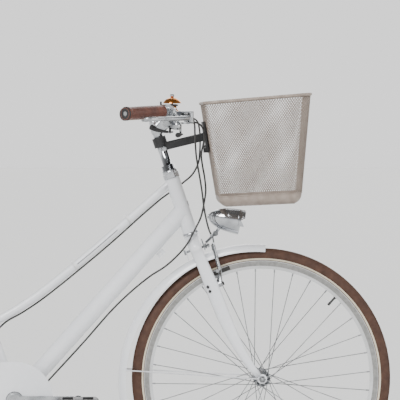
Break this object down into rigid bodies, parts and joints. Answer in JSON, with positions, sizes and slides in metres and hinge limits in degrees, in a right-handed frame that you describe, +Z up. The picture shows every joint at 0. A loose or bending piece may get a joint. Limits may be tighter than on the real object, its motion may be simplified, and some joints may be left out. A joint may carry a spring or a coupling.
{
  "type": "city bicycle",
  "caption": "Step-through city bicycle with a front mesh basket, swept handlebar, headlight, fenders, chain drive and a two-legged stand.",
  "frame": {"origin": "centre of the bounding box at ground level, between the wheels", "axes": "+X forward, +Y to the rider's left, +Z up"},
  "size_m": [1.8509, 0.6182, 1.1192],
  "materials": {
    "white_paint": "gloss enamel",
    "chrome_plate": "polished",
    "polished_alloy": "polished",
    "steel": "plated",
    "black_steel": "satin",
    "brown_tyre": "matte rubber",
    "brown_leather": "stitched",
    "basket_mesh": "matte paint",
    "black_plastic": "moulded",
    "pad_rubber": "moulded",
    "copper_bell": "lacquered",
    "clear_lens": "clear",
    "red_lens": "prismatic",
    "white_clip": "moulded"
  },
  "bodies": {
    "frame": {"head_tube": "white_paint", "down_tube": "white_paint", "top_tube": "white_paint", "seat_tube": "white_paint", "bottom_bracket_shell": "white_paint", "chain_stays": "white_paint", "seat_stays": "white_paint", "headset_cups": "chrome_plate", "seat_clamp": "polished_alloy", "rear_fender": "white_paint", "chain_guard": "white_paint", "chain": "steel", "rear_axle": "steel", "roller_brake": "black_steel", "rear_reflector": "red_lens", "cable_clips": "white_clip", "rear_brake_cable": "black_plastic", "shift_cable": "black_plastic"},
    "roller_brake_arm": {"roller_brake_arm": "steel"},
    "kickstand": {"kickstand": "steel"},
    "seat": {"seatpost": "chrome_plate", "saddle": "brown_leather"},
    "crank": {"right_crank": "polished_alloy", "chainring": "polished_alloy", "left_crank": "polished_alloy"},
    "right_pedal": {"right_pedal": "black_plastic"},
    "left_pedal": {"left_pedal": "black_plastic"},
    "rear_wheel": {"rear_tyre": "brown_tyre", "rear_rim": "polished_alloy", "rear_spokes": "steel", "rear_hub": "polished_alloy"},
    "rear_sprocket": {"rear_sprocket": "steel"},
    "steering": {"front_axle": "steel", "fork": "white_paint", "stem": "chrome_plate", "handlebar": "chrome_plate", "grips": "brown_leather", "basket": "basket_mesh", "basket_bracket": "black_steel", "front_fender": "white_paint", "lever_bracket": "polished_alloy", "shifter_housing": "polished_alloy", "bell": "copper_bell", "headlight_bracket": "steel", "front_brake_cable": "black_plastic"},
    "front_wheel": {"front_tyre": "brown_tyre", "front_rim": "polished_alloy", "front_spokes": "steel", "front_hub": "polished_alloy"},
    "left_brake_lever": {"left_brake_lever": "polished_alloy"},
    "right_brake_lever": {"right_brake_lever": "polished_alloy"},
    "thumb_lever": {"thumb_lever": "black_plastic"},
    "release_lever": {"release_lever": "black_plastic"},
    "bell_striker": {"bell_striker": "black_plastic"},
    "headlight": {"headlight_shell": "chrome_plate", "headlight_lens": "clear_lens"},
    "left_brake_arm": {"left_brake_arm": "polished_alloy", "left_brake_pad": "pad_rubber"},
    "right_brake_arm": {"right_brake_arm": "polished_alloy", "right_brake_pad": "pad_rubber"}
  },
  "joints": [
    {"name": "steering_turn", "type": "hinge", "parent": "frame", "child": "steering", "pos_m": [0.36502, 0, 0.81091], "axis": [-0.3156, 0, 0.9489], "range_deg": [-60, 60], "deforming": ["shift_cable", "rear_brake_cable"]},
    {"name": "front_wheel_spin", "type": "hinge", "parent": "steering", "child": "front_wheel", "pos_m": [0.58, 0, 0.35], "axis": [0, 1, 0], "continuous": true},
    {"name": "rear_wheel_spin", "type": "hinge", "parent": "frame", "child": "rear_wheel", "pos_m": [-0.54, 0, 0.35], "axis": [0, 1, 0], "continuous": true},
    {"name": "crank_spin", "type": "hinge", "parent": "frame", "child": "crank", "pos_m": [-0.084, 0, 0.295], "axis": [0, 1, 0], "continuous": true},
    {"name": "sprocket_spin", "type": "hinge", "parent": "frame", "child": "rear_sprocket", "pos_m": [-0.54, 0, 0.35], "axis": [0, 1, 0], "continuous": true},
    {"name": "right_pedal_spin", "type": "hinge", "parent": "crank", "child": "right_pedal", "pos_m": [0.086, -0.134, 0.295], "axis": [0, 1, 0], "continuous": true},
    {"name": "left_pedal_spin", "type": "hinge", "parent": "crank", "child": "left_pedal", "pos_m": [-0.254, 0.134, 0.295], "axis": [0, 1, 0], "continuous": true},
    {"name": "seat_height", "type": "slide", "parent": "frame", "child": "seat", "axis": [-0.342, 0, 0.9397], "range_m": [-0.09, 0.06]},
    {"name": "left_brake_lever_pull", "type": "hinge", "parent": "steering", "child": "left_brake_lever", "pos_m": [0.384, 0.185, 1.052], "axis": [0, 0, 1], "range_deg": [0, 8], "stiffness_Nm_per_rad": 3, "springref_deg": -5.73},
    {"name": "right_brake_lever_pull", "type": "hinge", "parent": "steering", "child": "right_brake_lever", "pos_m": [0.384, -0.185, 1.052], "axis": [0, 0, 1], "range_deg": [-8, 0], "stiffness_Nm_per_rad": 3, "springref_deg": 5.73},
    {"name": "left_brake_arm_close", "type": "hinge", "parent": "steering", "child": "left_brake_arm", "pos_m": [0.46894, 0.044, 0.60624], "axis": [0.9489, 0, 0.3156], "range_deg": [0, 2]},
    {"name": "right_brake_arm_close", "type": "hinge", "parent": "steering", "child": "right_brake_arm", "pos_m": [0.46894, -0.044, 0.60624], "axis": [0.9489, 0, 0.3156], "range_deg": [-2, 0]},
    {"name": "roller_brake_arm_pull", "type": "hinge", "parent": "frame", "child": "roller_brake_arm", "pos_m": [-0.51, 0.054, 0.37], "axis": [0, 1, 0], "range_deg": [0, 8]},
    {"name": "thumb_lever_push", "type": "hinge", "parent": "steering", "child": "thumb_lever", "pos_m": [0.33, -0.16, 1.014], "axis": [0, 0, 1], "range_deg": [0, 20], "stiffness_Nm_per_rad": 0.5, "springref_deg": -5.73},
    {"name": "release_lever_pull", "type": "hinge", "parent": "steering", "child": "release_lever", "pos_m": [0.358, -0.16, 1.008], "axis": [0, 0, 1], "range_deg": [-15, 0], "stiffness_Nm_per_rad": 0.4, "springref_deg": 5.73},
    {"name": "bell_striker_flick", "type": "hinge", "parent": "steering", "child": "bell_striker", "pos_m": [0.34, -0.105, 1.085], "axis": [0, 0, 1], "range_deg": [0, 25], "stiffness_Nm_per_rad": 0.1, "springref_deg": -5.73},
    {"name": "headlight_tilt", "type": "hinge", "parent": "steering", "child": "headlight", "pos_m": [0.456, 0, 0.74], "axis": [0, 1, 0], "range_deg": [-8, 8]},
    {"name": "kickstand_fold", "type": "hinge", "parent": "frame", "child": "kickstand", "pos_m": [-0.54, 0, 0.35], "axis": [0, 1, 0], "range_deg": [0, 85]}
  ],
  "couplings": [
    {"joint": "sprocket_spin", "follows": "crank_spin", "ratio": 2.75},
    {"joint": "left_brake_arm_close", "follows": "right_brake_lever_pull", "ratio": -0.25},
    {"joint": "right_brake_arm_close", "follows": "right_brake_lever_pull", "ratio": 0.25},
    {"joint": "roller_brake_arm_pull", "follows": "left_brake_lever_pull", "ratio": 1}
  ]
}
